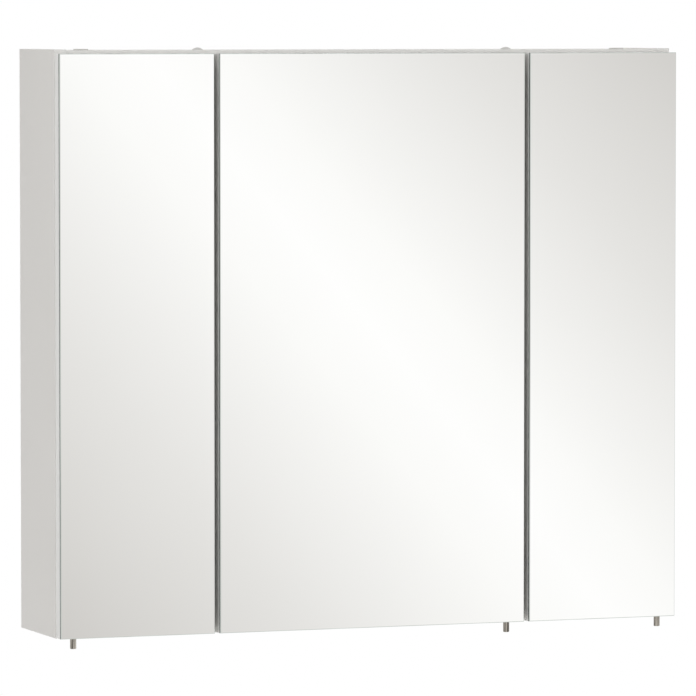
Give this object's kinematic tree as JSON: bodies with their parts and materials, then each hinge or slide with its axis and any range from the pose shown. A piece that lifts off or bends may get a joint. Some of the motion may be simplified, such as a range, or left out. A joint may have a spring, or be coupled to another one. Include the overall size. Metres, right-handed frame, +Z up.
{
  "type": "mirrored wall cabinet",
  "caption": "Wall-hung bathroom cabinet with mirrored swing doors on cup hinges, glass shelves, short bar knobs under the doors and adjustable wall hangers.",
  "frame": {"origin": "midway between the two wall-screw slots, on the wall plane", "axes": "+X to the right as the user faces the cabinet, +Y into the wall, +Z up; the doors face -Y"},
  "size_m": [0.8, 0.16, 0.7198],
  "materials": {
    "melamine": "white melamine-faced board, satin",
    "edge_banded_door": "white melamine-faced board with edge banding",
    "back_board": "white lacquered fibreboard, raw behind",
    "silvered_glass": "silvered float glass with ground edges",
    "clear_glass": "clear float glass with polished edges",
    "nickel": "brushed nickel plating",
    "nickel_steel": "bright nickel-plated steel",
    "zinc_steel": "zinc-plated steel",
    "white_plastic": "white moulded plastic",
    "clear_bumper": "translucent soft plastic",
    "beech": "plain beech"
  },
  "bodies": {
    "cabinet": {"left_side_panel": "melamine", "right_side_panel": "melamine", "top_panel": "melamine", "bottom_panel": "melamine", "left_partition": "melamine", "right_partition": "melamine", "back_panel": "back_board", "cam_locks": "zinc_steel", "cam_bolts": "zinc_steel", "partition_screws": "zinc_steel", "hanger_screws": "zinc_steel", "hinge_plate_screws": "zinc_steel", "hinge_arm_screws": "zinc_steel", "dowels": "beech", "cam_covers": "white_plastic", "screw_caps": "white_plastic", "left_hanger_body": "white_plastic", "right_hanger_body": "white_plastic", "left_hanger_hook": "zinc_steel", "right_hanger_hook": "zinc_steel", "left_wall_plate": "zinc_steel", "right_wall_plate": "zinc_steel", "hinge_plates": "nickel_steel", "hinge_arms": "nickel_steel", "hinge_pins": "nickel_steel", "left_lower_shelf": "clear_glass", "left_upper_shelf": "clear_glass", "left_shelf_supports": "nickel_steel", "middle_lower_shelf": "clear_glass", "middle_upper_shelf": "clear_glass", "middle_shelf_supports": "nickel_steel", "right_lower_shelf": "clear_glass", "right_upper_shelf": "clear_glass", "right_shelf_supports": "nickel_steel"},
    "left_door": {"left_door_board": "edge_banded_door", "left_mirror": "silvered_glass", "left_hinge_cups": "nickel_steel", "left_cup_screws": "zinc_steel", "left_knob": "nickel", "left_knob_stud": "zinc_steel", "left_bumpers": "clear_bumper"},
    "left_links": {"left_hinge_links": "nickel_steel"},
    "middle_door": {"middle_door_board": "edge_banded_door", "middle_mirror": "silvered_glass", "middle_hinge_cups": "nickel_steel", "middle_cup_screws": "zinc_steel", "middle_knob": "nickel", "middle_knob_stud": "zinc_steel", "middle_bumpers": "clear_bumper"},
    "middle_links": {"middle_hinge_links": "nickel_steel"},
    "right_door": {"right_door_board": "edge_banded_door", "right_mirror": "silvered_glass", "right_hinge_cups": "nickel_steel", "right_cup_screws": "zinc_steel", "right_knob": "nickel", "right_knob_stud": "zinc_steel", "right_bumpers": "clear_bumper"},
    "right_links": {"right_hinge_links": "nickel_steel"}
  },
  "joints": [
    {"name": "left_door_swing", "type": "hinge", "parent": "cabinet", "child": "left_door", "pos_m": [-0.213, -0.154, 0], "axis": [0, 0, 1], "range_deg": [0, 90]},
    {"name": "middle_door_swing", "type": "hinge", "parent": "cabinet", "child": "middle_door", "pos_m": [-0.19, -0.154, 0], "axis": [0, 0, -1], "range_deg": [0, 90]},
    {"name": "right_door_swing", "type": "hinge", "parent": "cabinet", "child": "right_door", "pos_m": [0.213, -0.154, 0], "axis": [0, 0, -1], "range_deg": [0, 90]},
    {"name": "left_link_turn", "type": "hinge", "parent": "cabinet", "child": "left_links", "pos_m": [-0.233, -0.136, 0], "axis": [0, 0, 1], "range_deg": [-30, 0]},
    {"name": "middle_link_turn", "type": "hinge", "parent": "cabinet", "child": "middle_links", "pos_m": [-0.17, -0.136, 0], "axis": [0, 0, -1], "range_deg": [-30, 0]},
    {"name": "right_link_turn", "type": "hinge", "parent": "cabinet", "child": "right_links", "pos_m": [0.233, -0.136, 0], "axis": [0, 0, -1], "range_deg": [-30, 0]}
  ],
  "couplings": [
    {"joint": "left_link_turn", "follows": "left_door_swing", "ratio": -0.333},
    {"joint": "middle_link_turn", "follows": "middle_door_swing", "ratio": -0.333},
    {"joint": "right_link_turn", "follows": "right_door_swing", "ratio": -0.333}
  ]
}
